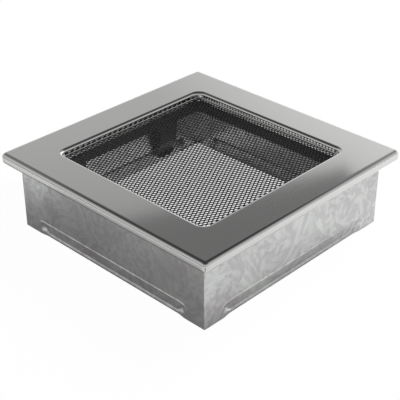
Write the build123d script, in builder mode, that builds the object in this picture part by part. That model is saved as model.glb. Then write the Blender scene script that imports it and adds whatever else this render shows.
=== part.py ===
"""Square ventilation grille: a stainless front frame with an expanded-metal screen, which
plugs by four spring legs into a galvanised wall sleeve.

Millimetres. The sleeve's open rim stands on Z = 0 and the grille's face looks along +Z.
"""

import os
from math import hypot, radians, tan

from build123d import *

# Front frame: one pressed and folded stainless sheet
frame_side = 170.0
frame_sheet = 1.0
border_width = 25.1
opening_corner = 5.0
lip_height = 7.2
lip_roundness = 0.38
lip_return = 5.0
lip_corner_margin = 0.3
lip_seam = 0.5
collar_depth = 4.2
collar_bend = 1.0
ledge_width = 2.5
ledge_bend = 0.8

# Expanded-metal screen: each modelled diamond stands for five by five real ones
mesh_depth = 1.0
mesh_clearance = 0.1
mesh_long_pitch = 22.0
mesh_short_pitch = 12.0
mesh_strand = 2.4

# Wall sleeve: galvanised strip folded square and lapped at one corner
sleeve_depth = 43.2
sleeve_sheet = 0.7
sleeve_corner = 1.0
frame_overhang = 8.3
flange_inset = 1.8
flange_bend = 0.8
flange_corner_gap = 1.6
lap_width = 12.0
lap_inset = 1.0

# Bead pressed into each sleeve wall, with the rim below it drawn in
bead_end = 14.4
bead_height = 8.0
bead_depth = 1.4
bead_rise = 4.85
bead_slope = 45.0
rim_draw = 0.8
rim_run_out = 7.0

# Black ring under the border
ring_setback = 7.5
ring_sheet = 1.0
ring_depth = 18.8
ring_corner = 2.0
ring_bend = 0.5
ring_clearance = 0.3

# Spring legs on two opposite sides of the ring
leg_width = 14.8
leg_sheet = 0.6
leg_spacing = 80.8
leg_lap = 13.0
leg_lean_share = 0.25
leg_lean_height_share = 0.33
leg_bend = 4.0
knee_bend = 2.0
knee_rise = 8.4
knee_clearance = 0.4
tip_rise = 4.6
tip_tuck = 1.6
leg_end_round = 2.0

# Rivets that hold the legs to the ring
rivet_spacing = 7.0
rivet_shank = 2.4
rivet_head = 4.4
rivet_head_height = 0.9
rivet_dome = 0.6
rivet_fit = 0.05

# Sizes that follow from the ones above
frame_top = sleeve_depth + lip_height
lip_bend = lip_roundness * lip_height
frame_corner = lip_bend + lip_corner_margin
frame_underside = frame_top - frame_sheet
opening = frame_side - 2 * border_width
collar_outside = opening + 2 * frame_sheet
ledge_top = frame_top - collar_depth
ledge_window = opening - 2 * ledge_width
ledge_corner = opening_corner - ledge_width
mesh_side = opening - 2 * (ledge_bend + mesh_clearance)
mesh_corner = opening_corner - ledge_bend - mesh_clearance
sleeve_side = frame_side - 2 * frame_overhang
sleeve_bore = sleeve_side - 2 * sleeve_sheet
flange_reach = frame_side / 2 - flange_inset
flange_fold = flange_bend + sleeve_sheet
bead_length = sleeve_side - 2 * bead_end
bead_growth = 2 * sleeve_sheet * tan(radians(bead_slope / 2))
ring_side = collar_outside + 2 * ring_setback
ring_bore = ring_side - 2 * ring_sheet
ring_bottom = frame_underside - ring_depth
ring_flange_bore = collar_outside + 2 * (collar_bend + ring_clearance)
knee_reach = sleeve_bore / 2 - bead_depth - knee_clearance
rivet_rise = ring_bottom + leg_lap / 2
rivet_grip = ring_sheet + leg_sheet

wall_turns = (0, 90, 180, 270)
leg_places = [(side, x) for side in (1, -1) for x in (-leg_spacing / 2, leg_spacing / 2)]

os.makedirs("parts", exist_ok=True)


def save(part, name):
    """Label a finished piece and write it under its name."""
    part.label = name
    export_step(part, f"parts/{name}.step")


def wall_plane(turn, reach, rise):
    """Plane on one of the four walls, with its normal pointing into the sleeve."""
    outward = Vector(1, 0, 0).rotate(Axis.Z, turn)
    along = Vector(0, 1, 0).rotate(Axis.Z, turn)
    return Plane(outward * reach + Vector(0, 0, rise), x_dir=along, z_dir=outward * -1)


def level_face(part, height):
    """The flat level face of a piece that lies at a given height."""
    level = part.faces().filter_by(Axis.Z)
    return level.sort_by(lambda face: abs(face.center().Z - height))[0]


# Space under the frame's face, with the insides of the lip's bends
with BuildPart() as lip_hollow:
    with BuildSketch(Plane.XY.offset(sleeve_depth + frame_sheet)):
        hollow_side = frame_side - 2 * frame_sheet
        RectangleRounded(hollow_side, hollow_side, frame_corner - frame_sheet)
    extrude(amount=lip_height - 2 * frame_sheet)
    fillet(lip_hollow.faces().filter_by(Axis.Z).edges(), lip_bend - frame_sheet)

with BuildPart() as front_frame:
    # Flat face with a rounded lip, and the return under the lip
    with BuildSketch(Plane.XY.offset(sleeve_depth)):
        RectangleRounded(frame_side, frame_side, frame_corner)
    extrude(amount=lip_height)
    fillet(front_frame.faces().filter_by(Axis.Z).edges(), lip_bend)
    add(lip_hollow.part, mode=Mode.SUBTRACT)
    with BuildSketch(Plane.XY.offset(sleeve_depth)):
        Rectangle(frame_side - 2 * lip_return, frame_side - 2 * lip_return)
    extrude(amount=frame_sheet, mode=Mode.SUBTRACT)

    # Open seam where the folded lip meets itself at each corner
    with BuildSketch(Plane.XY.offset(sleeve_depth)):
        with PolarLocations(frame_side / 2**0.5, 4, start_angle=45):
            Rectangle(4 * lip_return, lip_seam)
    extrude(amount=lip_height - lip_bend, mode=Mode.SUBTRACT)

    # Collar round the opening, folded in at its foot to the ledge that carries the screen
    with BuildSketch(Plane.XY.offset(frame_top)):
        RectangleRounded(collar_outside, collar_outside, opening_corner + frame_sheet)
    extrude(amount=-(collar_depth + frame_sheet))
    fillet(level_face(front_frame.part, ledge_top - frame_sheet).edges(), ledge_bend + frame_sheet)
    fillet(level_face(front_frame.part, frame_underside).inner_wires().edges(), collar_bend)
    with BuildSketch(Plane.XY.offset(frame_top)):
        RectangleRounded(opening, opening, opening_corner)
    extrude(amount=-collar_depth, mode=Mode.SUBTRACT)
    with BuildSketch(Plane.XY.offset(ledge_top)):
        RectangleRounded(ledge_window, ledge_window, ledge_corner)
    extrude(amount=-frame_sheet, mode=Mode.SUBTRACT)
    fillet(level_face(front_frame.part, frame_top).inner_wires().edges(), collar_bend + frame_sheet)
    fillet(level_face(front_frame.part, ledge_top).outer_wire().edges(), ledge_bend)
save(front_frame.part, "front_frame")

# Half diagonals of one gap in the screen: the cell's diamond less half a strand all round
cell_inradius = mesh_long_pitch * mesh_short_pitch / 2 / hypot(mesh_long_pitch, mesh_short_pitch)
gap_share = 1 - mesh_strand / 2 / cell_inradius
gap_long = gap_share * mesh_long_pitch / 2
gap_short = gap_share * mesh_short_pitch / 2
gap_columns = int(ledge_window / mesh_long_pitch)
gap_rows = 2 * round(ledge_window / mesh_short_pitch / 2) - 1

with BuildPart() as mesh_panel:
    with BuildSketch(Plane.XY.offset(ledge_top)):
        RectangleRounded(mesh_side, mesh_side, mesh_corner)
    extrude(amount=mesh_depth)
    # Staggered diamonds, trimmed where they would run over the ledge
    with BuildSketch(Plane.XY.offset(ledge_top)):
        with GridLocations(mesh_long_pitch, mesh_short_pitch, gap_columns, gap_rows + 2):
            Polygon((gap_long, 0), (0, gap_short), (-gap_long, 0), (0, -gap_short))
        with GridLocations(mesh_long_pitch, mesh_short_pitch, gap_columns + 1, gap_rows + 1):
            Polygon((gap_long, 0), (0, gap_short), (-gap_long, 0), (0, -gap_short))
        RectangleRounded(ledge_window, ledge_window, ledge_corner, mode=Mode.INTERSECT)
    extrude(amount=mesh_depth, mode=Mode.SUBTRACT)
save(mesh_panel.part, "mesh_panel")

with BuildPart() as sleeve:
    # Four walls up to where the flanges start to fold
    with BuildSketch():
        RectangleRounded(sleeve_side, sleeve_side, sleeve_corner)
        RectangleRounded(sleeve_bore, sleeve_bore, sleeve_corner - sleeve_sheet, mode=Mode.SUBTRACT)
    extrude(amount=sleeve_depth - flange_fold)

    # Flange folded outwards from each wall, with open corners between them
    for turn in wall_turns:
        with BuildSketch(Plane.XZ.rotated((0, 0, turn))):
            with BuildLine():
                wall_middle = (sleeve_side - sleeve_sheet) / 2
                flange_middle = sleeve_depth - sleeve_sheet / 2
                FilletPolyline(
                    (wall_middle, sleeve_depth - 2 * flange_fold),
                    (wall_middle, flange_middle),
                    (flange_reach, flange_middle),
                    radius=flange_bend + sleeve_sheet / 2,
                )
            trace(line_width=sleeve_sheet)
        extrude(amount=sleeve_side / 2 - flange_corner_gap, both=True)

    # Lap of the strip's end, inside one corner
    with BuildSketch(Plane.XY.offset(lap_inset)):
        with Locations((sleeve_bore / 2, sleeve_bore / 2)):
            Rectangle(sleeve_sheet, lap_width, align=(Align.MAX, Align.MAX))
    extrude(amount=sleeve_depth - flange_fold - 2 * lap_inset)

    # Long bead and the rim that it draws in: ridges inside, then the same pressed in from outside
    for reach, growth, mode in (
        (sleeve_bore / 2, bead_growth, Mode.ADD),
        (sleeve_side / 2, 0, Mode.SUBTRACT),
    ):
        with BuildSketch(*[wall_plane(turn, reach, bead_rise) for turn in wall_turns]):
            SlotOverall(bead_length + growth, bead_height + growth)
        extrude(amount=bead_depth, taper=bead_slope, mode=mode)
        for turn in wall_turns:
            with BuildSketch(wall_plane(turn, reach, 0)):
                Rectangle(bead_length, 2 * bead_rise)
            with BuildSketch(wall_plane(turn, reach - rim_draw, 0)):
                Rectangle(bead_length - 2 * rim_run_out, 2 * bead_rise)
            loft(mode=mode)
    split(bisect_by=Plane.XY)
save(sleeve.part, "sleeve")

rivet_holes = [
    (x + step, rivet_rise)
    for x in (-leg_spacing / 2, leg_spacing / 2)
    for step in (-rivet_spacing / 2, rivet_spacing / 2)
]

with BuildPart() as inner_ring:
    # Upright band and the flange at its top that bears on the frame's underside
    with BuildSketch(Plane.XY.offset(ring_bottom)):
        RectangleRounded(ring_side, ring_side, ring_corner)
    extrude(amount=ring_depth)
    fillet(level_face(inner_ring.part, frame_underside).edges(), ring_bend + ring_sheet)
    with BuildSketch(Plane.XY.offset(ring_bottom)):
        RectangleRounded(ring_bore, ring_bore, ring_corner - ring_sheet)
    extrude(amount=ring_depth - ring_sheet, mode=Mode.SUBTRACT)
    fillet(level_face(inner_ring.part, frame_underside - ring_sheet).edges(), ring_bend)
    with BuildSketch(Plane.XY.offset(frame_underside)):
        RectangleRounded(ring_flange_bore, ring_flange_bore, opening_corner + frame_sheet)
    extrude(amount=-ring_sheet, mode=Mode.SUBTRACT)
    with BuildSketch(Plane.XZ):
        with Locations(*rivet_holes):
            Circle(rivet_shank / 2 + rivet_fit)
    extrude(amount=ring_side, both=True, mode=Mode.SUBTRACT)
save(inner_ring.part, "inner_ring")

# Middle line of a leg, out from the centre and up: along the ring, out to the knee, back at the tip
leg_start = ring_side / 2 + leg_sheet / 2
leg_knee = knee_reach - leg_sheet / 2
leg_line = [
    (leg_start, ring_bottom + leg_lap),
    (leg_start, ring_bottom),
    (
        leg_start + leg_lean_share * (leg_knee - leg_start),
        knee_rise + leg_lean_height_share * (ring_bottom - knee_rise),
    ),
    (leg_knee, knee_rise),
    (leg_knee - tip_tuck, tip_rise),
]

for number, (side, x) in enumerate(leg_places, start=1):
    with BuildPart() as spring_leg:
        with BuildSketch(Plane((x, 0, 0), x_dir=(0, side, 0), z_dir=(side, 0, 0))):
            with BuildLine():
                FilletPolyline(*leg_line, radius=[leg_bend, leg_bend, knee_bend])
            trace(line_width=leg_sheet)
        extrude(amount=leg_width / 2, both=True)
        ends = spring_leg.edges().filter_by(lambda edge: abs(edge.length - leg_sheet) < leg_sheet / 100)
        fillet(ends, leg_end_round)
        with BuildSketch(Plane.XZ):
            with Locations(*rivet_holes):
                Circle(rivet_shank / 2 + rivet_fit)
        extrude(amount=ring_side, both=True, mode=Mode.SUBTRACT)
    save(spring_leg.part, f"spring_leg_{number}")

# One rivet, its head on the ring's inside and closed over on the leg
with BuildPart() as rivet:
    Cylinder(rivet_head / 2, rivet_head_height, align=(Align.CENTER, Align.CENTER, Align.MAX))
    Cylinder(rivet_shank / 2, rivet_grip, align=(Align.CENTER, Align.CENTER, Align.MIN))
    with Locations((0, 0, rivet_grip)):
        Cylinder(rivet_head / 2, rivet_head_height, align=(Align.CENTER, Align.CENTER, Align.MIN))
    rims = rivet.edges().filter_by(GeomType.CIRCLE).sort_by(Axis.Z)
    fillet((rims[0], rims[-1]), rivet_dome)

with BuildPart() as leg_rivets:
    for side in (1, -1):
        with Locations(*[Plane((x, side * ring_bore / 2, z), z_dir=(0, side, 0)) for x, z in rivet_holes]):
            add(rivet.part)
save(leg_rivets.part, "leg_rivets")
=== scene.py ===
"""Square ventilation grille: surfaces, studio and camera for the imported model.

The grille is a polished stainless frame with an expanded-metal screen. Under it a black ring
carries four spring legs, and the whole plugs into a galvanised wall sleeve. Sizes are in
millimetres and become metres where a mesh is made; the studio and the camera are in metres.
"""

from __future__ import annotations

import logging
import math
from dataclasses import dataclass
from enum import Enum

import bmesh
import bpy
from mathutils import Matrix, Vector

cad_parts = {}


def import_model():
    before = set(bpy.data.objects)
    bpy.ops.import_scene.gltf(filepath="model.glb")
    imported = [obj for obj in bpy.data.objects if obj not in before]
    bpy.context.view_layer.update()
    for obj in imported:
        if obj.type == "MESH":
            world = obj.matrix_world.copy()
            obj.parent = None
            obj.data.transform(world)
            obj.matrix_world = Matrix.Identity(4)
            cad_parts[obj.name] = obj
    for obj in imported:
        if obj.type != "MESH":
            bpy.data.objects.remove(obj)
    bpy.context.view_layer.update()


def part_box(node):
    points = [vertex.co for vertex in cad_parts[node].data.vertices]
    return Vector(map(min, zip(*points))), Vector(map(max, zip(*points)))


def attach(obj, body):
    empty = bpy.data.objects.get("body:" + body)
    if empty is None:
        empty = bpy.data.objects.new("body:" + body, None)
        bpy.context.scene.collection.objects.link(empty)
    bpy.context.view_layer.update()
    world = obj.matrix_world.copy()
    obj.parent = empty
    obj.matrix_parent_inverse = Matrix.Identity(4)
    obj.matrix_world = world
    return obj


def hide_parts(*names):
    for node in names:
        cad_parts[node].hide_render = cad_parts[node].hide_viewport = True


LOG = logging.getLogger("vent_grille")

MM = 0.001

# A holding point this many millimetres beside a bend keeps the flat next to it flat
HOLD = 0.3

# Points closer than the first, in millimetres, become one, and edges below the second are dropped
MERGE = 0.002
SPECK = 0.001

# Lengths in millimetres that differ by less than this are the same
SAME = 1e-6

# Folds steeper than this many degrees show as cut edges
SHARP_FOLD = 40.0

# Walls of the sleeve and corners of the frame
SIDES = 4

Tree = bpy.types.NodeTree
Socket = bpy.types.NodeSocket
Node = bpy.types.Node
Point2 = tuple[float, float]
Colour = tuple[float, float, float, float]
Face = tuple[int, ...]
Place = tuple[Vector, Vector, float]


class Body(str, Enum):
    """The two bodies of the part: the sleeve stays in the wall and the grille pulls out."""

    GRILLE = "grille"
    SLEEVE = "sleeve"


def linear(code: str) -> Colour:
    """Turn an sRGB hex colour into linear light.

    Args:
        code: Colour as "#rrggbb".

    Returns:
        Linear red, green, blue and an alpha of one.
    """
    parts = [int(code[i : i + 2], 16) / 255 for i in (1, 3, 5)]
    red, green, blue = (c / 12.92 if c <= 0.04045 else ((c + 0.055) / 1.055) ** 2.4 for c in parts)
    return red, green, blue, 1.0


def smooth_ramp(share: float) -> float:
    """Ease from nought to one."""
    t = min(max(share, 0.0), 1.0)
    return t * t * (3 - 2 * t)


def add_node(
    tree: Tree,
    kind: str,
    settings: dict[str, object] | None = None,
    **sockets: object,
) -> Node:
    """Add one node, set its properties and fill or link its inputs.

    Args:
        tree: Node tree that takes the node.
        kind: Type name of the node.
        settings: Properties of the node by name.
        **sockets: Inputs by position as "i0", "i1" and so on, each a value or an output to link.

    Returns:
        The new node.
    """
    node = tree.nodes.new(kind)
    for name, value in (settings or {}).items():
        setattr(node, name, value)
    for name, value in sockets.items():
        socket = node.inputs[int(name[1:])]
        if isinstance(value, Socket):
            tree.links.new(value, socket)
        else:
            socket.default_value = value
    return node


def calc(tree: Tree, operation: str, *values: object) -> Socket:
    """Add one sum to a node tree, with its inputs in order."""
    inputs = {f"i{number}": value for number, value in enumerate(values)}
    return add_node(tree, "ShaderNodeMath", {"operation": operation}, **inputs).outputs[0]


def place_at(tree: Tree, x: object = 0.0, y: object = 0.0, z: object = 0.0) -> Socket:
    """Join three coordinates into one place."""
    return add_node(tree, "ShaderNodeCombineXYZ", i0=x, i1=y, i2=z).outputs[0]


def dot(tree: Tree, place: Socket, way: Vector) -> Socket:
    """Distance of a place along a way."""
    settings = {"operation": "DOT_PRODUCT"}
    return add_node(tree, "ShaderNodeVectorMath", settings, i0=place, i1=way).outputs["Value"]


def spread(
    tree: Tree,
    value: Socket,
    to: Point2,
    start: Point2 = (0.0, 1.0),
) -> Socket:
    """Stretch a value from one range to another and keep it inside."""
    ends = {"i1": start[0], "i2": start[1], "i3": to[0], "i4": to[1]}
    return add_node(tree, "ShaderNodeMapRange", i0=value, **ends).outputs[0]


def mix_levels(tree: Tree, share: object, first: object, second: object) -> Socket:
    """Blend from a first level to a second."""
    settings = {"data_type": "FLOAT"}
    return add_node(tree, "ShaderNodeMix", settings, i0=share, i2=first, i3=second).outputs[0]


def mix_tones(tree: Tree, share: Socket, dark: str, light: str) -> Socket:
    """Blend from a dark hex colour to a light one."""
    ends = {"i6": linear(dark), "i7": linear(light)}
    return add_node(tree, "ShaderNodeMix", {"data_type": "RGBA"}, i0=share, **ends).outputs[2]


def object_place(tree: Tree) -> Socket:
    """The object's own coordinates."""
    return add_node(tree, "ShaderNodeTexCoord").outputs["Object"]


def scaled(tree: Tree, place: Socket, *lengths: float) -> Socket:
    """Scale a place so that one length in millimetres along each axis becomes one."""
    scale = tuple(1 / (length * MM) for length in lengths)
    return add_node(tree, "ShaderNodeMapping", i0=place, i3=scale).outputs[0]


def noise(tree: Tree, place: Socket, detail: float, scale: float = 1.0) -> Node:
    """Add cloudy noise at a scale and detail."""
    return add_node(tree, "ShaderNodeTexNoise", i0=place, i2=scale, i3=detail)


def mirrored(tree: Tree, path: Node) -> Socket:
    """One for rays that come from a mirroring or clear surface, else nought."""
    return calc(tree, "MAXIMUM", path.outputs["Is Glossy Ray"], path.outputs["Is Transmission Ray"])


def new_finish(name: str, metallic: float = 0.0) -> tuple[bpy.types.Material, Tree, Node]:
    """Start a material.

    Args:
        name: Name of the real material.
        metallic: How far it is bare metal.

    Returns:
        The material, its node tree and its surface shader.
    """
    material = bpy.data.materials.new(name)
    material.use_nodes = True
    shader = material.node_tree.nodes["Principled BSDF"]
    shader.inputs["Metallic"].default_value = metallic
    return material, material.node_tree, shader


def geometry_tree(name: str, inputs: dict[str, str]) -> Tree:
    """Start a geometry tree with named inputs, a finish and one shape as its output.

    Args:
        name: Name of the tree.
        inputs: Socket type of each input by name.

    Returns:
        The new tree.
    """
    tree = bpy.data.node_groups.new(name, "GeometryNodeTree")
    for title, kind in {**inputs, "Finish": "NodeSocketMaterial"}.items():
        tree.interface.new_socket(title, in_out="INPUT", socket_type=kind)
    tree.interface.new_socket("Geometry", in_out="OUTPUT", socket_type="NodeSocketGeometry")
    return tree


def point_row(tree: Tree, count: object, start: Socket, step: Socket) -> Socket:
    """Points in a straight row."""
    return add_node(tree, "GeometryNodeMeshLine", i0=count, i2=start, i3=step).outputs[0]


def set_on(tree: Tree, points: Socket, piece: Socket) -> Socket:
    """One copy of a piece on every point."""
    return add_node(tree, "GeometryNodeInstanceOnPoints", i0=points, i2=piece).outputs[0]


def end_tree(tree: Tree, shape: Socket, finish: Socket) -> None:
    """Make all copies real, give them their finish and end the tree.

    Args:
        tree: Geometry tree.
        shape: What the tree has laid out.
        finish: Input that holds the material.
    """
    real = add_node(tree, "GeometryNodeRealizeInstances", i0=shape)
    finished = add_node(tree, "GeometryNodeSetMaterial", i0=real.outputs[0])
    tree.links.new(finish, finished.inputs["Material"])
    add_node(tree, "NodeGroupOutput", i0=finished.outputs[0])


def fillet_path(
    points: list[Point2], radii: list[float], steps: int = 8, hold: float = HOLD
) -> list[Point2]:
    """Round the inner corners of an open path, with a holding point on the straight beside each arc.

    Args:
        points: Corners of the path, with its two ends.
        radii: Radius of each inner corner.
        steps: Runs in each arc.
        hold: Distance of a holding point from the end of an arc.

    Returns:
        Points of the rounded path.
    """
    path = [Vector(points[0])]
    for before, corner, after, radius in zip(points, points[1:], points[2:], radii):
        corner_point = Vector(corner)
        back = (Vector(before) - corner_point).normalized()
        ahead = (Vector(after) - corner_point).normalized()
        half_angle = back.angle(ahead) / 2
        setback = radius / math.tan(half_angle)
        middle = corner_point + (back + ahead).normalized() * radius / math.sin(half_angle)
        first = corner_point + back * setback
        sweep = math.pi - 2 * half_angle
        turn = math.copysign(1.0, back.cross(ahead))
        spoke = first - middle
        path.append(first + back * hold)
        for step in range(steps + 1):
            angle = -turn * sweep * step / steps
            cos, sin = math.cos(angle), math.sin(angle)
            turned = Vector((spoke.x * cos - spoke.y * sin, spoke.x * sin + spoke.y * cos))
            path.append(middle + turned)
        path.append(corner_point + ahead * (setback + hold))
    path.append(Vector(points[-1]))
    return [(p.x, p.y) for p in path]


def grid_face(row: int, first: int, count: int) -> Face:
    """Face between two closed rows of points.

    Args:
        row: Number of the lower row.
        first: Number of the face's first point in its row.
        count: Points in a row.

    Returns:
        Numbers of the face's four points.
    """
    second = (first + 1) % count
    low, high = row * count, (row + 1) * count
    return low + first, low + second, high + second, high + first


def settle(obj: bpy.types.Object) -> bpy.types.Object:
    """Turn an object's modifiers into its plain mesh.

    Args:
        obj: Mesh object with live modifiers.

    Returns:
        The same object, with the result as its mesh and no modifiers.
    """
    bpy.context.view_layer.update()
    evaluated = obj.evaluated_get(bpy.context.evaluated_depsgraph_get())
    mesh = bpy.data.meshes.new_from_object(evaluated)
    obj.modifiers.clear()
    obj.data = mesh
    return obj


def grow(name: str, tree: Tree, values: dict[str, object]) -> bpy.types.Object:
    """Run a geometry tree and keep its result as a plain mesh.

    Args:
        name: Name of the piece.
        tree: Geometry tree with named inputs.
        values: Value of each input by name.

    Returns:
        The object, with no modifier left on it.
    """
    obj = bpy.data.objects.new(name, bpy.data.meshes.new(name))
    bpy.context.scene.collection.objects.link(obj)
    modifier = obj.modifiers.new("grow", "NODES")
    modifier.node_group = tree
    for item in tree.interface.items_tree:
        if item.in_out == "INPUT":
            modifier[item.identifier] = values[item.name]
    return settle(obj)


def sheet_object(
    name: str, points: list[Vector], faces: list[Face], sheet: float
) -> bpy.types.Object:
    """Make a folded sheet from its outer skin.

    Args:
        name: Name of the piece.
        points: Points of the skin in millimetres.
        faces: Faces of the skin, pointing outwards.
        sheet: Thickness, which goes inwards from the skin.

    Returns:
        The finished sheet in metres, smooth over its bends and sharp at its cut edges.
    """
    mesh = bpy.data.meshes.new(name)
    mesh.from_pydata([p * MM for p in points], [], faces)
    shell = bmesh.new()
    shell.from_mesh(mesh)
    bmesh.ops.remove_doubles(shell, verts=shell.verts, dist=MERGE * MM)
    bmesh.ops.dissolve_degenerate(shell, edges=shell.edges, dist=SPECK * MM)
    shell.to_mesh(mesh)
    shell.free()
    obj = bpy.data.objects.new(name, mesh)
    bpy.context.scene.collection.objects.link(obj)
    wall = obj.modifiers.new("wall", "SOLIDIFY")
    wall.thickness = sheet * MM
    wall.offset = -1.0
    wall.use_even_offset = True
    settle(obj)
    obj.data.shade_smooth()
    obj.data.set_sharp_from_angle(angle=math.radians(SHARP_FOLD))
    return obj


def dress(
    obj: bpy.types.Object, material: bpy.types.Material, body: Body, slot: str, *nodes: str
) -> None:
    """Give a finished piece its material, body and the solids that it stands for.

    Args:
        obj: The piece.
        material: Its finish.
        body: Body that it rides on.
        slot: Material slot of the piece; not used.
        *nodes: Nodes that it replaces.
    """
    obj.data.materials.clear()
    obj.data.materials.append(material)
    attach(obj, body.value)
    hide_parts(*nodes)
    LOG.info("%s: %d faces", obj.name, len(obj.data.polygons))


@dataclass(frozen=True)
class Span:
    """Lowest and highest corner of a node, in millimetres."""

    low: Vector
    high: Vector

    @classmethod
    def of(cls, node: str) -> Span:
        """Read a node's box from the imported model."""
        low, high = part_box(node)
        return cls(Vector(low) / MM, Vector(high) / MM)

    @property
    def reach(self) -> float:
        """Half of the side along X."""
        return (self.high.x - self.low.x) / 2


@dataclass(frozen=True)
class PolishedStainless:
    """Bright rolled stainless sheet: a clear, slightly soft mirror with faint rolling lines."""

    base: str = "#d7d7d6"
    metallic: float = 1.0
    roughness: float = 0.08
    roughness_spread: float = 0.02
    line_pitch: float = 0.6
    line_length: float = 40.0
    line_detail: float = 2.0

    def build(self) -> bpy.types.Material:
        """Make the material.

        Returns:
            The finished material.
        """
        material, tree, shader = new_finish("polished_stainless", self.metallic)
        shader.inputs["Base Color"].default_value = linear(self.base)
        lines = scaled(tree, object_place(tree), self.line_length, self.line_pitch, self.line_pitch)
        grain = noise(tree, lines, self.line_detail).outputs[0]
        low, high = self.roughness - self.roughness_spread, self.roughness + self.roughness_spread
        tree.links.new(spread(tree, grain, (low, high)), shader.inputs["Roughness"])
        return material


@dataclass(frozen=True)
class GalvanisedSheet:
    """Hot-dip galvanised sheet: a dull zinc mirror with feathered crystals, lighter and darker."""

    light: str = "#dbdfdc"
    dark: str = "#bfbbbd"
    crystal: float = 16.0
    crystal_ripple: float = 5.0
    ripple_reach: float = 0.9
    ripple_detail: float = 4.0
    blade_length: float = 16.0
    blade_width: float = 3.4
    blade_edge: Point2 = (0.42, 0.6)
    blade_detail: float = 6.0
    blade_share: float = 0.55
    metallic: float = 0.9
    roughness_low: float = 0.28
    roughness_high: float = 0.36

    def build(self) -> bpy.types.Material:
        """Make the material.

        Returns:
            The finished material.
        """
        material, tree, shader = new_finish("galvanised_sheet", self.metallic)
        place = object_place(tree)
        crystals = self.crystals(tree, place)
        blades = self.blades(tree, place, crystals)
        cell = add_node(tree, "ShaderNodeSeparateColor", i0=crystals).outputs[0]
        share = mix_levels(tree, self.blade_share, cell, blades)
        tree.links.new(mix_tones(tree, share, self.dark, self.light), shader.inputs["Base Color"])
        rough = spread(tree, blades, (self.roughness_high, self.roughness_low))
        tree.links.new(rough, shader.inputs["Roughness"])
        return material

    def crystals(self, tree: Tree, place: Socket) -> Socket:
        """Zinc crystals with ragged borders, as one random colour each.

        Args:
            tree: Node tree of the material.
            place: Object coordinates.

        Returns:
            The colour of the crystal at each place.
        """
        even = scaled(tree, place, self.crystal, self.crystal, self.crystal)
        ripple = noise(tree, even, self.ripple_detail, self.crystal / self.crystal_ripple)
        ragged = add_node(
            tree,
            "ShaderNodeVectorMath",
            {"operation": "MULTIPLY_ADD"},
            i0=ripple.outputs["Color"],
            i1=(self.ripple_reach,) * 3,
            i2=even,
        )
        cells = add_node(tree, "ShaderNodeTexVoronoi", i0=ragged.outputs[0])
        cells.inputs["Scale"].default_value = 1.0
        return cells.outputs["Color"]

    def blades(self, tree: Tree, place: Socket, crystals: Socket) -> Socket:
        """Feathery blades inside each crystal, which all lie one way in it.

        Args:
            tree: Node tree of the material.
            place: Object coordinates.
            crystals: Random colour of each crystal, which sets the way its blades lie.

        Returns:
            Brightness of the blades from nought to one.
        """
        mean = (0.5,) * 3
        way = add_node(tree, "ShaderNodeVectorMath", {"operation": "SUBTRACT"}, i0=crystals, i1=mean)
        turned = add_node(tree, "ShaderNodeVectorRotate", {"rotation_type": "AXIS_ANGLE"}, i0=place)
        tree.links.new(way.outputs[0], turned.inputs["Axis"])
        chance = add_node(tree, "ShaderNodeSeparateColor", i0=crystals).outputs[1]
        tree.links.new(calc(tree, "MULTIPLY", chance, math.tau), turned.inputs["Angle"])
        lengths = (self.blade_length, self.blade_width, self.blade_width)
        grain = noise(tree, scaled(tree, turned.outputs[0], *lengths), self.blade_detail)
        return spread(tree, grain.outputs[0], (0.0, 1.0), self.blade_edge)


@dataclass(frozen=True)
class ExpandedSteel:
    """Slit and drawn steel screen: dull dark grey strands with a little gloss on their cut faces."""

    light: str = "#303131"
    dark: str = "#212222"
    mottle: float = 1.5
    mottle_detail: float = 2.0
    metallic: float = 0.5
    roughness: float = 0.5

    def build(self) -> bpy.types.Material:
        """Make the material.

        Returns:
            The finished material.
        """
        material, tree, shader = new_finish("expanded_steel", self.metallic)
        shader.inputs["Roughness"].default_value = self.roughness
        spots = noise(tree, object_place(tree), self.mottle_detail, 1 / (self.mottle * MM))
        tone = mix_tones(tree, spots.outputs[0], self.dark, self.light)
        tree.links.new(tone, shader.inputs["Base Color"])
        return material


@dataclass(frozen=True)
class BlackCoat:
    """Satin black coat on steel: soft highlights and a faint orange-peel ripple."""

    name: str
    light: str
    dark: str
    roughness_low: float
    roughness_high: float
    ripple: float = 1.2
    ripple_detail: float = 3.0
    ripple_height: float = 0.01
    metallic: float = 0.0

    def build(self) -> bpy.types.Material:
        """Make the material.

        Returns:
            The finished material.
        """
        material, tree, shader = new_finish(self.name, self.metallic)
        peel = noise(tree, object_place(tree), self.ripple_detail, 1 / (self.ripple * MM)).outputs[0]
        tree.links.new(mix_tones(tree, peel, self.dark, self.light), shader.inputs["Base Color"])
        rough = spread(tree, peel, (self.roughness_low, self.roughness_high))
        tree.links.new(rough, shader.inputs["Roughness"])
        bump = add_node(tree, "ShaderNodeBump")
        bump.inputs["Distance"].default_value = self.ripple_height * MM
        tree.links.new(peel, bump.inputs["Height"])
        tree.links.new(bump.outputs[0], shader.inputs["Normal"])
        return material


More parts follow.
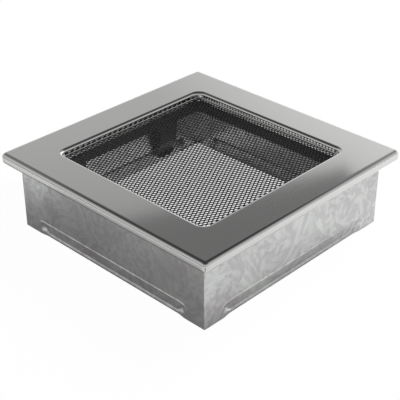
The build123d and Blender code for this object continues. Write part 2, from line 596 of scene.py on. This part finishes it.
@dataclass(frozen=True)
class SquareSheet:
    """A sheet folded round a square: a path of reach and height, swept round four round corners.

    A seam can part its corners up to a height. In a tight corner the sine of half the seam's angle
    stays below the widest seam.
    """

    name: str
    path: list[Point2]
    corners: list[float]
    sheet: float
    seam: float = 0.0
    seam_top: float = 0.0
    widest_seam: float = 0.7
    arc_steps: int = 6

    def loop(self, reach: float, height: float, corner: float) -> list[Vector]:
        """Points of one level loop, counter-clockwise from above.

        Args:
            reach: Half of the loop's side.
            height: Its level.
            corner: Its corner radius in plan.

        Returns:
            The points, the same number for every loop.
        """
        centre = reach - corner
        diagonal = math.pi / 4
        half_seam = diagonal / self.arc_steps
        if self.seam:
            half_seam = math.asin(min(self.seam / 2 / corner, self.widest_seam))
        near = [(diagonal - half_seam) * i / self.arc_steps for i in range(self.arc_steps + 1)]
        angles = near + [math.pi / 2 - a for a in reversed(near)]
        plan = [(reach, centre - HOLD)]
        plan += [(centre + corner * math.cos(a), centre + corner * math.sin(a)) for a in angles]
        plan += [(centre - HOLD, reach)]
        points = []
        for _ in range(SIDES):
            points += [Vector((x, y, height)) for x, y in plan]
            plan = [(-y, x) for x, y in plan]
        return points

    def build(self) -> bpy.types.Object:
        """Sweep the skin, leaving the corner seams open, and give it its thickness.

        Returns:
            The folded sheet.
        """
        loops = [self.loop(*place, corner) for place, corner in zip(self.path, self.corners)]
        points = [point for loop in loops for point in loop]
        count = len(loops[0])
        seam_place = self.arc_steps + 1
        outer_rows = len(self.path) // 2
        faces = []
        for row, (first, second) in enumerate(zip(self.path, self.path[1:])):
            below_top = max(first[1], second[1]) <= self.seam_top + SAME
            parted = self.seam and below_top and row < outer_rows
            for i in range(count):
                if parted and i % (count // SIDES) == seam_place:
                    continue
                faces.append(grid_face(row, i, count))
        return sheet_object(self.name, points, faces, self.sheet)


@dataclass(frozen=True)
class FrontFrame:
    """Stainless front frame: border, rounded lip with its return, collar and ledge of the opening."""

    border: float = 25.1
    sheet: float = 1.0
    lip_roundness: float = 0.38
    lip_return: float = 5.0
    corner_margin: float = 0.3
    seam: float = 0.5
    collar_depth: float = 4.2
    collar_bend: float = 2.0
    opening_corner: float = 5.0
    ledge: float = 2.5
    ledge_bend: float = 0.8
    bend_steps: int = 10
    finish: PolishedStainless = PolishedStainless()

    def build(self) -> bpy.types.Object:
        """Fold the frame from its section and dress it.

        Returns:
            The dressed frame.
        """
        span = Span.of("front_frame")
        side, top = span.reach, span.high.z
        foot = Span.of("sleeve").high.z
        lip_bend = self.lip_roundness * (top - foot)
        opening = side - self.border
        path = fillet_path(
            [
                (side - self.lip_return, foot),
                (side, foot),
                (side, top),
                (opening, top),
                (opening, top - self.collar_depth),
                (opening - self.ledge, top - self.collar_depth),
            ],
            [lip_bend, lip_bend, self.collar_bend, self.ledge_bend],
            steps=self.bend_steps,
        )
        corner = lip_bend + self.corner_margin
        middle = side - self.border / 2
        corners = [
            max(corner - (side - reach), self.corner_margin)
            if reach > middle
            else self.opening_corner + reach - opening
            for reach, _ in path
        ]
        seam_top = top - lip_bend
        sheet = SquareSheet("front_frame_sheet", path, corners, self.sheet, self.seam, seam_top)
        obj = sheet.build()
        dress(obj, self.finish.build(), Body.GRILLE, "stainless_frame", "front_frame")
        return obj


@dataclass(frozen=True)
class Screen:
    """Expanded-metal screen: zigzag strands side by side, joined where their bends meet."""

    long_pitch: float = 4.4
    short_pitch: float = 2.4
    strand: float = 0.56
    gauge: float = 0.32
    tilt: float = 30.0
    finish: ExpandedSteel = ExpandedSteel()

    def tree(self) -> Tree:
        """Node tree that lays out the strands from the screen's sizes.

        Returns:
            The tree, with the screen's sizes and finish as its inputs.
        """
        lengths = ("Long Pitch", "Short Pitch", "Strand", "Gauge", "Tilt", "Swing", "Level")
        inputs = {name: "NodeSocketFloat" for name in lengths}
        inputs |= {name: "NodeSocketInt" for name in ("Points", "Strands")}
        tree = geometry_tree("expanded_metal", inputs)
        given = add_node(tree, "NodeGroupInput").outputs

        # Points of one strand, four to a diamond, and the side that each of them swings to
        quarter = calc(tree, "MULTIPLY", given["Long Pitch"], 0.25)
        half_count = calc(tree, "MULTIPLY", calc(tree, "SUBTRACT", given["Points"], 1.0), -0.5)
        start = place_at(tree, x=calc(tree, "MULTIPLY", half_count, quarter), z=given["Level"])
        line = point_row(tree, given["Points"], start, place_at(tree, x=quarter))
        position = add_node(tree, "GeometryNodeInputPosition").outputs[0]
        along = add_node(tree, "ShaderNodeSeparateXYZ", i0=position).outputs[0]
        angle = calc(tree, "MULTIPLY", calc(tree, "DIVIDE", along, given["Long Pitch"]), math.tau)
        side = calc(tree, "SIGN", calc(tree, "COSINE", angle))

        # Section of a strand, tilted as the slitting knife leaves it
        sizes = {"i0": given["Strand"], "i1": given["Gauge"]}
        section = add_node(tree, "GeometryNodeCurvePrimitiveQuadrilateral", **sizes)
        tilted = add_node(tree, "GeometryNodeTransform", i0=section.outputs[0])
        tree.links.new(place_at(tree, z=given["Tilt"]), tilted.inputs["Rotation"])

        # Every second strand swings the other way, so that the bends of neighbours meet
        rows = add_node(tree, "GeometryNodeJoinGeometry")
        row_count = calc(tree, "MULTIPLY", given["Strands"], 0.5)
        edge = calc(tree, "MULTIPLY", calc(tree, "SUBTRACT", given["Strands"], 1.0), -0.25)
        first_row = calc(tree, "MULTIPLY", edge, given["Short Pitch"])
        half_step = calc(tree, "MULTIPLY", given["Short Pitch"], 0.5)
        second_row = calc(tree, "ADD", first_row, half_step)
        row_step = place_at(tree, y=given["Short Pitch"])
        for sign, row in ((1.0, first_row), (-1.0, second_row)):
            swing = calc(tree, "MULTIPLY", calc(tree, "MULTIPLY", side, given["Swing"]), sign)
            bent = add_node(tree, "GeometryNodeSetPosition", i0=line)
            tree.links.new(place_at(tree, y=swing), bent.inputs["Offset"])
            curve = add_node(tree, "GeometryNodeMeshToCurve", i0=bent.outputs[0]).outputs[0]
            upright = add_node(tree, "GeometryNodeSetCurveNormal", {"mode": "Z_UP"}, i0=curve)
            strand = add_node(tree, "GeometryNodeCurveToMesh")
            tree.links.new(upright.outputs[0], strand.inputs["Curve"])
            tree.links.new(tilted.outputs[0], strand.inputs["Profile Curve"])
            strand.inputs["Fill Caps"].default_value = True
            row_points = point_row(tree, row_count, place_at(tree, y=row), row_step)
            tree.links.new(set_on(tree, row_points, strand.outputs[0]), rows.inputs[0])
        end_tree(tree, rows.outputs[0], given["Finish"])
        return tree

    def build(self) -> bpy.types.Object:
        """Lay the strands out over the panel's place and dress them.

        Returns:
            The dressed screen.
        """
        span = Span.of("mesh_panel")
        side = 2 * span.reach
        width = self.strand * math.cos(math.radians(self.tilt))
        material = self.finish.build()
        values = {
            "Long Pitch": self.long_pitch * MM,
            "Short Pitch": self.short_pitch * MM,
            "Points": 2 * int(side / (self.long_pitch / 4) / 2),
            "Strands": 2 * int(side / self.short_pitch),
            "Strand": self.strand * MM,
            "Gauge": self.gauge * MM,
            "Tilt": math.radians(self.tilt),
            "Swing": (self.short_pitch / 2 - width) / 2 * MM,
            "Level": (span.low.z + span.high.z) / 2 * MM,
            "Finish": material,
        }
        obj = grow("screen_strands", self.tree(), values)
        dress(obj, material, Body.GRILLE, "screen_steel", "mesh_panel")
        return obj


@dataclass(frozen=True)
class InnerRing:
    """Black steel ring under the border: an upright band with a flange folded in at its top."""

    sheet: float = 1.0
    bend: float = 1.5
    corner: float = 2.0
    flange: float = 6.2
    flange_corner: float = 6.0
    finish: BlackCoat = BlackCoat(
        "satin_black_paint", light="#4a4a4a", dark="#3c3c3c", roughness_low=0.45, roughness_high=0.58
    )

    def build(self) -> bpy.types.Object:
        """Fold the ring and dress it.

        Returns:
            The dressed ring.
        """
        span = Span.of("inner_ring")
        side, top = span.reach, span.high.z
        inner = side - self.flange
        path = fillet_path([(side, span.low.z), (side, top), (inner, top)], [self.bend])
        smallest = self.corner - self.bend
        corners = [
            max(self.corner - (side - reach), smallest) if reach > inner else self.flange_corner
            for reach, _ in path
        ]
        obj = SquareSheet("inner_ring_band", path, corners, self.sheet).build()
        dress(obj, self.finish.build(), Body.GRILLE, "black_paint", "inner_ring")
        return obj


@dataclass(frozen=True)
class SpringLegs:
    """Four spring strips on the ring, which lean out to a knee and turn back in at the tip."""

    sheet: float = 0.6
    lap: float = 13.0
    lean_share: float = 0.25
    lean_height_share: float = 0.33
    knee_rise: float = 8.4
    tip_rise: float = 4.6
    tip_tuck: float = 1.6
    bend: float = 4.0
    knee_bend: float = 2.0
    bend_hold: float = 0.2
    end_round: float = 2.0
    round_steps: int = 5
    finish: BlackCoat = BlackCoat(
        "blackened_spring_strip",
        light="#2b2a29",
        dark="#1d1c1c",
        roughness_low=0.3,
        roughness_high=0.42,
        metallic=0.3,
    )

    def line(self, knee: float, start: float, ring_foot: float) -> list[Point2]:
        """Outer face of a leg seen from its edge, from its top to its tip.

        Args:
            knee: Reach of the knee from the middle of the grille.
            start: Reach of the leg where it lies on the ring.
            ring_foot: Level of the ring's lower edge.

        Returns:
            Reach and height along the strip.
        """
        lean = (
            start + self.lean_share * (knee - start),
            self.knee_rise + self.lean_height_share * (ring_foot - self.knee_rise),
        )
        corners = [
            (start, ring_foot + self.lap),
            (start, ring_foot),
            lean,
            (knee, self.knee_rise),
            (knee - self.tip_tuck, self.tip_rise),
        ]
        return fillet_path(corners, [self.bend, self.bend, self.knee_bend], hold=self.bend_hold)

    def rounded(self, line: list[Point2], half_width: float) -> list[tuple[float, float, float]]:
        """Cross rows of the strip, narrowed to round corners at both ends.

        Args:
            line: Reach and height along the strip.
            half_width: Half of its width.

        Returns:
            Reach, height and half width of each row.
        """
        quarter = math.pi / 2
        angles = [quarter * i / self.round_steps for i in range(self.round_steps)]
        steps = [self.end_round * (1 - math.cos(angle)) for angle in angles]
        lengths = [0.0]
        for a, b in zip(line, line[1:]):
            lengths.append(lengths[-1] + math.dist(a, b))
        total = lengths[-1]
        rows = []
        for length in sorted({*lengths, *steps, *(total - step for step in steps)}):
            at = max(i for i, start in enumerate(lengths[:-1]) if start <= length + SAME)
            share = (length - lengths[at]) / (lengths[at + 1] - lengths[at])
            reach, height = (a + (b - a) * share for a, b in zip(line[at], line[at + 1]))
            missing = self.end_round - min(length, total - length, self.end_round)
            inset = self.end_round - math.sqrt(max(self.end_round**2 - missing**2, 0.0))
            rows.append((reach, height, half_width - inset))
        return rows

    def build(self) -> list[bpy.types.Object]:
        """Bend the four legs and dress them.

        Returns:
            The dressed legs in the order of their numbers.
        """
        material = self.finish.build()
        ring = Span.of("inner_ring")
        pieces = []
        for number in (1, 2, 3, 4):
            span = Span.of(f"spring_leg_{number}")
            side = math.copysign(1.0, span.high.y + span.low.y)
            middle = (span.low.x + span.high.x) / 2
            knee = max(abs(span.high.y), abs(span.low.y))
            line = self.line(knee, ring.reach + self.sheet, ring.low.z)
            rows = self.rounded(line, span.reach)
            points = [
                Vector((middle + edge * side * half, side * reach, height))
                for reach, height, half in rows
                for edge in (-1, 1)
            ]
            faces = [(2 * i, 2 * i + 1, 2 * i + 3, 2 * i + 2) for i in range(len(rows) - 1)]
            obj = sheet_object(f"spring_strip_{number}", points, faces, self.sheet)
            dress(obj, material, Body.GRILLE, "spring_steel", f"spring_leg_{number}")
            pieces.append(obj)
        return pieces


@dataclass(frozen=True)
class Sleeve:
    """Galvanised wall sleeve: four walls, each with a flange, a long bead and a drawn-in rim."""

    sheet: float = 0.7
    corner: float = 1.0
    overhang: float = 6.5
    flange_bend: float = 0.8
    flange_gap: float = 1.6
    flange_setback: float = 1.0
    bead_end: float = 14.4
    bead_top: float = 8.85
    bead_foot: float = 0.7
    bead_rise: float = 2.3
    bead_depth: float = 1.4
    bead_nose: float = 5.2
    end_rise: float = 5.2
    end_foot: float = 1.8
    end_depth: float = 1.8
    end_run: float = 5.0
    edge_lift: float = 0.36
    edge_width: float = 0.8
    rim_draw: float = 0.8
    rim_run_out: float = 7.0
    lap: float = 12.0
    lap_inset: float = 1.0
    lap_gap: float = 0.02
    row_step: float = 0.2
    wide_rows: Point2 = (20.0, 32.0)
    column_step: float = 0.4
    column_margin: float = 1.5
    wide_columns: Point2 = (20.0, 40.0)
    arc_steps: int = 8
    finish: GalvanisedSheet = GalvanisedSheet()

    def press(self, along: float, height: float, half: float) -> float:
        """How far the press moves the wall in at one place.

        Args:
            along: Distance from the wall's middle.
            height: Height over the rim.
            half: Half the wall's length.

        Returns:
            Depth in millimetres.
        """
        tip = half - self.bead_end
        past = max(abs(along) - (tip - self.bead_nose), 0.0) / self.bead_nose
        end = smooth_ramp((abs(along) - (tip - self.bead_nose - self.end_run / 2)) / self.end_run)
        rise = self.bead_rise + end * (self.end_rise - self.bead_rise)
        foot = self.bead_foot + end * (self.end_foot - self.bead_foot)
        deepest = self.bead_depth + end * (self.end_depth - self.bead_depth)
        reach = self.bead_top - rise if height > rise else rise - foot
        inside = 1 - math.hypot(past**2, (height - rise) / reach)
        bead = deepest * max(inside, 0.0)
        if height > rise:
            from_edge = (inside * reach + self.edge_width / 2) / self.edge_width
            return bead - self.edge_lift * max(1 - from_edge**2, 0.0) ** 2
        drawn = self.rim_draw * smooth_ramp((tip - abs(along)) / self.rim_run_out)
        return max(bead, drawn * smooth_ramp((rise - height) / (rise - foot)))

    def columns(self, half: float) -> list[float]:
        """Places along a wall where the mesh has a column: close at the bead's ends.

        Args:
            half: Half the wall's length.

        Returns:
            Distances from the wall's middle.
        """
        start = half - self.bead_end + self.column_margin
        count = int((self.bead_nose + self.rim_run_out) / self.column_step)
        close = [start - self.column_step * i for i in range(count)]
        edge = half - self.corner
        flange_end = half - self.flange_gap
        right = sorted({0.0, *self.wide_columns, *close, flange_end, edge - HOLD, edge})
        return [-x for x in reversed(right[1:])] + right

    def rows(self, top: float) -> list[float]:
        """Heights where a wall has a row: close across the bead.

        Args:
            top: Height where the flange starts to fold.

        Returns:
            Heights over the rim.
        """
        high = self.bead_top + 2 * self.edge_width
        count = int(high / self.row_step)
        close = [high * i / count for i in range(count + 1)]
        return [*close, *self.wide_rows, top - HOLD, top]

    def outline(self, half: float) -> list[Place]:
        """Places round the sleeve at one level, wall by wall with the corner after each.

        Args:
            half: Half of the sleeve's side.

        Returns:
            Each place, the way out from it and its distance from the wall's middle.
        """
        columns = self.columns(half)
        places = []
        for turn in range(SIDES):
            bearing = turn * math.pi / 2
            out = Vector((math.cos(bearing), math.sin(bearing), 0))
            along = Vector((-out.y, out.x, 0))
            places += [(out * half + along * column, out, column) for column in columns]
            centre = (out + along) * (half - self.corner)
            for step in range(1, self.arc_steps):
                angle = math.pi / 2 * step / self.arc_steps
                spoke = out * math.cos(angle) + along * math.sin(angle)
                places.append((centre + spoke * self.corner, spoke, half))
        return places

    def add_flanges(
        self, points: list[Vector], faces: list[Face], outline: list[Place], path: list[Point2]
    ) -> None:
        """Fold a flange out from each wall's top row, with open corners between them.

        Args:
            points: Points of the sleeve, whose last row is the walls' top. It takes the new ones.
            faces: Faces of the sleeve. It takes the new ones.
            outline: Places round the sleeve.
            path: Way out from the wall and height along the fold.
        """
        half = outline[-1][2]
        top_row = len(points) - len(outline)
        per_wall = len(outline) // SIDES
        for first in range(0, len(outline), per_wall):
            wall = range(first, first + per_wall)
            used = [k for k in wall if abs(outline[k][2]) <= half - self.flange_gap + SAME]
            last_row = [top_row + k for k in used]
            for way, height in path:
                row = list(range(len(points), len(points) + len(used)))
                for place, out, _ in (outline[k] for k in used):
                    points.append(place + out * way + Vector((0, 0, height)))
                faces += zip(last_row, last_row[1:], row[1:], row)
                last_row = row

    def add_lap(self, points: list[Vector], faces: list[Face], half: float, fold: float) -> None:
        """Lay the strip's end over the inside of one wall.

        Args:
            points: Points of the sleeve, which takes the new ones.
            faces: Faces of the sleeve, which takes the new one.
            half: Half of the sleeve's side.
            fold: Height where the flange starts to fold.
        """
        inner = half - self.sheet - self.lap_gap
        start = inner - self.lap
        low, high = self.lap_inset, fold - self.lap_inset
        first = len(points)
        for along, height in ((start, low), (inner, low), (inner, high), (start, high)):
            points.append(Vector((inner, along, height)))
        faces.append(tuple(range(first, len(points))))

    def build(self) -> bpy.types.Object:
        """Press and fold the walls, add the flanges and the lap, and dress the sleeve.

        Returns:
            The dressed sleeve.
        """
        span = Span.of("sleeve")
        half = span.reach - self.overhang
        under_flange = span.high.z - self.sheet
        fold = under_flange - self.flange_bend
        heights = self.rows(fold)
        outline = self.outline(half)
        points = [
            place - out * self.press(along, height, half) + Vector((0, 0, height))
            for height in heights
            for place, out, along in outline
        ]
        count = len(outline)
        faces = [grid_face(row, i, count) for row in range(len(heights) - 1) for i in range(count)]

        # The fold's path starts past the points that the wall's top rows already have
        flange_end = span.reach - self.flange_setback
        section = [(half, 0.0), (half, under_flange), (flange_end, under_flange)]
        _, _, _, *fold_path = fillet_path(section, [self.flange_bend])
        path = [(reach - half, height) for reach, height in fold_path]
        self.add_flanges(points, faces, outline, path)
        self.add_lap(points, faces, half, fold)
        obj = sheet_object("sleeve_sheet", points, faces, self.sheet)
        dress(obj, self.finish.build(), Body.SLEEVE, "galvanised_steel", "sleeve")
        return obj


@dataclass(frozen=True)
class LegRivets:
    """Round-headed rivets that hold the legs to the ring, with a head on each side."""

    spacing: float = 7.0
    head: float = 4.4
    head_height: float = 0.9
    head_segments: int = 20
    head_rings: int = 10
    lap: float = SpringLegs.lap
    ring_sheet: float = InnerRing.sheet
    leg_sheet: float = SpringLegs.sheet
    finish: BlackCoat = BlackCoat(
        "blackened_rivets",
        light="#333231",
        dark="#222121",
        roughness_low=0.28,
        roughness_high=0.4,
        metallic=0.4,
    )

    def tree(self) -> Tree:
        """Node tree that sets a domed head at every rivet's place.

        Returns:
            The tree, with the rivets' sizes, places and finish as its inputs.
        """
        widths = ("Spacing", "Leg Spacing")
        faces = ("Inner Face", "Outer Face")
        lengths = ("Head", "Head Height", *widths, *faces, "Rise")
        tree = geometry_tree("rivet_heads", {name: "NodeSocketFloat" for name in lengths})
        given = add_node(tree, "NodeGroupInput").outputs
        rounds = {"i0": self.head_segments, "i1": self.head_rings, "i2": 1.0}
        ball = add_node(tree, "GeometryNodeMeshUVSphere", **rounds)
        radius = calc(tree, "MULTIPLY", given["Head"], 0.5)
        head = add_node(tree, "GeometryNodeTransform", i0=ball.outputs[0])
        dome = place_at(tree, radius, given["Head Height"], radius)
        tree.links.new(dome, head.inputs["Scale"])
        group = add_node(tree, "GeometryNodeSetShadeSmooth", i0=head.outputs[0]).outputs[0]
        for width in widths:
            start = place_at(tree, x=calc(tree, "MULTIPLY", given[width], -0.5))
            pair = point_row(tree, 2, start, place_at(tree, x=given[width]))
            group = set_on(tree, pair, group)
        sides = add_node(tree, "GeometryNodeJoinGeometry")
        for reach in faces:
            for sign in (1.0, -1.0):
                side = calc(tree, "MULTIPLY", given[reach], sign)
                moved = add_node(tree, "GeometryNodeTransform", i0=group)
                place = place_at(tree, y=side, z=given["Rise"])
                tree.links.new(place, moved.inputs["Translation"])
                tree.links.new(moved.outputs[0], sides.inputs[0])
        end_tree(tree, sides.outputs[0], given["Finish"])
        return tree

    def build(self) -> bpy.types.Object:
        """Set the heads and dress them.

        Returns:
            The dressed heads as one piece.
        """
        ring = Span.of("inner_ring")
        leg = Span.of("spring_leg_2")
        material = self.finish.build()
        values = {
            "Head": self.head * MM,
            "Head Height": self.head_height * MM,
            "Spacing": self.spacing * MM,
            "Leg Spacing": (leg.low.x + leg.high.x) * MM,
            "Inner Face": (ring.reach - self.ring_sheet) * MM,
            "Outer Face": (ring.reach + self.leg_sheet) * MM,
            "Rise": (ring.low.z + self.lap / 2) * MM,
            "Finish": material,
        }
        obj = grow("rivet_heads", self.tree(), values)
        dress(obj, material, Body.GRILLE, "rivet_steel", "leg_rivets")
        return obj


@dataclass(frozen=True)
class Studio:
    """Light room round the part: white floor, one lamp at the right and a dark card overhead.

    The room's walls are plain white to the camera. In the metal they fade upwards by the height of
    the way that a ray goes. The floor ends near the part at the left and the back, so that the metal
    sees the dark foot of the walls there. A flag behind the part carries its shade on along the floor.
    """

    floor_reach: float = 3.0
    floor_left: float = 0.38
    floor_colour: str = "#f4f4f4"
    floor_roughness: float = 0.9
    floor_seen: float = 0.98
    # Card inside the sleeve that paints a reflection in the zinc: its size, its height, its painted
    # shade level at the right, and the blend and shift of that painted shade
    inner_reach: float = 0.0745
    inner_rise: float = 0.0001
    inner_painted_shade: float = 0.3
    inner_blend: float = 0.016
    inner_shift: float = 0.008
    card_height: float = 1.05
    card_bearing: float = 69.0
    card_near: float = 0.95
    card_far: float = 1.455
    card_left: float = 0.6
    card_right: float = -1.08
    card_level: float = 0.2
    wall_fade: tuple[Point2, ...] = (
        (0.0, 0.1),
        (0.03, 0.8),
        (0.2, 0.72),
        (0.46, 0.54),
        (0.64, 0.27),
        (0.74, 0.06),
    )
    window_bearing: float = 5.0
    window_start: float = 0.68
    window_full: float = 0.86
    window_gain: float = 2.0
    sky_level: float = 0.33
    lamp_power: float = 21.5
    lamp_side: float = 0.6
    lamp_bearing: float = -5.0
    lamp_rise: float = 47.0
    lamp_distance: float = 1.5
    flag_place: float = -0.05
    flag_start: float = 0.08
    flag_end: float = 0.15
    flag_height: float = 0.055

    def build(self) -> None:
        """Set up the floor, the cards, the flag, the lamp and the world."""
        self.floor()
        self.painted_reflection_card()
        self.dark_card()
        self.flag()
        self.lamp()
        self.world()

    def plane(self, name: str, corners: list[Vector]) -> bpy.types.Object:
        """One flat stage surface.

        Args:
            name: Name of the surface.
            corners: Its four corners in metres.

        Returns:
            The surface.
        """
        mesh = bpy.data.meshes.new(name)
        mesh.from_pydata(corners, [], [(0, 1, 2, 3)])
        obj = bpy.data.objects.new(name, mesh)
        bpy.context.scene.collection.objects.link(obj)
        return obj

    def white_surface(self, obj: bpy.types.Object) -> tuple[Tree, Node, Node]:
        """Give a stage surface a white that the camera sees as the photograph's white.

        Args:
            obj: The surface.

        Returns:
            The node tree, its light path and its mix of lit white and plain white.
        """
        material, tree, shader = new_finish("white_" + obj.name)
        shader.inputs["Base Color"].default_value = linear(self.floor_colour)
        shader.inputs["Roughness"].default_value = self.floor_roughness
        shader.inputs["Specular IOR Level"].default_value = 0.0
        glow = add_node(tree, "ShaderNodeEmission").outputs[0]
        path = add_node(tree, "ShaderNodeLightPath")
        seen = calc(tree, "MULTIPLY", path.outputs["Is Camera Ray"], self.floor_seen)
        mix = add_node(tree, "ShaderNodeMixShader", i0=seen, i1=shader.outputs[0], i2=glow)
        tree.links.new(mix.outputs[0], tree.nodes["Material Output"].inputs[0])
        obj.data.materials.append(material)
        return tree, path, mix

    def floor(self) -> None:
        """White floor: white to the camera, and lit and shaded by the lamp in the metal."""
        far, left = self.floor_reach, self.floor_left
        corners = ((-left, -far), (far, -far), (far, left), (-left, left))
        self.white_surface(self.plane("floor", [Vector((x, y, 0)) for x, y in corners]))

    def painted_reflection_card(self) -> None:
        """White card inside the sleeve: in the zinc it is a painted reflection, bright at the left and
        dim at the right, which paints light on one inner wall and shade on the other.
        """
        reach, rise = self.inner_reach, self.inner_rise
        corners = ((-reach, -reach), (reach, -reach), (reach, reach), (-reach, reach))
        obj = self.plane("painted_reflection_card", [Vector((x, y, rise)) for x, y in corners])
        tree, path, mix = self.white_surface(obj)
        # Painted reflection: mirror rays see the card painted bright at the left and painted dim at
        # the right, in place of light and shade inside the sleeve
        side = dot(tree, object_place(tree), Vector((1, -1, 0)))
        blend = (self.inner_shift - self.inner_blend, self.inner_shift + self.inner_blend)
        bright = spread(tree, side, (1.0, self.inner_painted_shade), blend)
        plain = calc(tree, "MULTIPLY", mirrored(tree, path), bright)
        camera = path.outputs["Is Camera Ray"]
        share = calc(tree, "MULTIPLY_ADD", camera, self.floor_seen, plain)
        tree.links.new(share, mix.inputs[0])

    def dark_card(self) -> None:
        """Dark card overhead, seen in mirrors only: its edge parts the frame's dark and light."""
        angle = math.radians(self.card_bearing)
        ahead = Vector((math.cos(angle), math.sin(angle), 0))
        aside = Vector((-ahead.y, ahead.x, 0))
        up = Vector((0, 0, self.card_height))
        near, far = ahead * self.card_near + up, ahead * self.card_far + up
        left, right = aside * self.card_left, aside * self.card_right
        obj = self.plane("dark_card", [near + right, near + left, far + left, far + right])
        obj.visible_diffuse = False
        obj.visible_shadow = False
        material, tree, shader = new_finish("dark_card")
        tree.nodes.remove(shader)
        glow = add_node(tree, "ShaderNodeEmission")
        glow.inputs["Strength"].default_value = self.card_level
        tree.links.new(glow.outputs[0], tree.nodes["Material Output"].inputs[0])
        obj.data.materials.append(material)

    def flag(self) -> None:
        """Upright flag behind the part, which only casts shade on the floor at the left."""
        x, low, high = self.flag_place, self.flag_start, self.flag_end
        corners = ((low, 0.0), (high, 0.0), (high, self.flag_height), (low, self.flag_height))
        obj = self.plane("flag", [Vector((x, y, z)) for y, z in corners])
        obj.visible_camera = False
        obj.visible_glossy = False
        obj.visible_diffuse = False

    def lamp(self) -> None:
        """Soft lamp at the right, which shades the floor at the left and is not itself mirrored."""
        data = bpy.data.lights.new("right_lamp", "AREA")
        data.shape = "SQUARE"
        data.size = self.lamp_side
        data.energy = self.lamp_power
        obj = bpy.data.objects.new("right_lamp", data)
        bearing, rise = math.radians(self.lamp_bearing), math.radians(self.lamp_rise)
        level = math.cos(rise)
        way = Vector((level * math.cos(bearing), level * math.sin(bearing), math.sin(rise)))
        obj.location = way * self.lamp_distance
        obj.rotation_euler = (-way).to_track_quat("-Z", "Y").to_euler()
        obj.visible_glossy = False
        bpy.context.scene.collection.objects.link(obj)

    def world(self) -> None:
        """Walls: white to the camera, fading upwards in the metal, brightest at the back right."""
        world = bpy.data.worlds.new("studio")
        world.use_nodes = True
        bpy.context.scene.world = world
        tree = world.node_tree
        background = tree.nodes["Background"]
        background.inputs["Color"].default_value = (1, 1, 1, 1)
        path = add_node(tree, "ShaderNodeLightPath")
        way = add_node(tree, "ShaderNodeTexCoord").outputs["Generated"]
        height = add_node(tree, "ShaderNodeSeparateXYZ", i0=way).outputs[2]
        walls = add_node(tree, "ShaderNodeValToRGB", i0=height)
        stops = walls.color_ramp.elements
        while len(stops) < len(self.wall_fade):
            stops.new(1.0)
        for stop, (place, level) in zip(stops, self.wall_fade):
            stop.position = place
            stop.color = (level, level, level, 1)
        bearing = math.radians(self.window_bearing)
        toward = dot(tree, way, Vector((math.cos(bearing), math.sin(bearing), 0)))
        gain = (1.0, self.window_gain)
        window = spread(tree, toward, gain, (self.window_start, self.window_full))
        metal = calc(tree, "MULTIPLY", walls.outputs[0], window)
        soft = mix_levels(tree, mirrored(tree, path), self.sky_level, metal)
        strength = mix_levels(tree, path.outputs["Is Camera Ray"], soft, 1.0)
        tree.links.new(strength, background.inputs["Strength"])


@dataclass(frozen=True)
class PhotoCamera:
    """Camera at the photograph's place, in metres, with its lens and sensor in millimetres."""

    place: tuple[float, float, float] = (-0.39741, -0.38316, 0.34677)
    ahead: tuple[float, float, float] = (0.61706, 0.59619, -0.51361)
    lens: float = 94.05
    sensor: float = 36.0

    def build(self) -> None:
        """Add the camera and make it the scene's own."""
        data = bpy.data.cameras.new("photo_camera")
        data.sensor_width = self.sensor
        data.lens = self.lens
        obj = bpy.data.objects.new("photo_camera", data)
        obj.location = self.place
        obj.rotation_euler = Vector(self.ahead).to_track_quat("-Z", "Y").to_euler()
        bpy.context.scene.collection.objects.link(obj)
        bpy.context.scene.camera = obj


def main() -> None:
    """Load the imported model, build and dress every piece, and set up the studio."""
    logging.basicConfig(level=logging.INFO, format="%(name)s %(message)s")
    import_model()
    bpy.context.scene.view_settings.view_transform = "Standard"
    PhotoCamera().build()
    Studio().build()
    FrontFrame().build()
    Screen().build()
    InnerRing().build()
    SpringLegs().build()
    LegRivets().build()
    Sleeve().build()


if __name__ == "__main__":
    main()
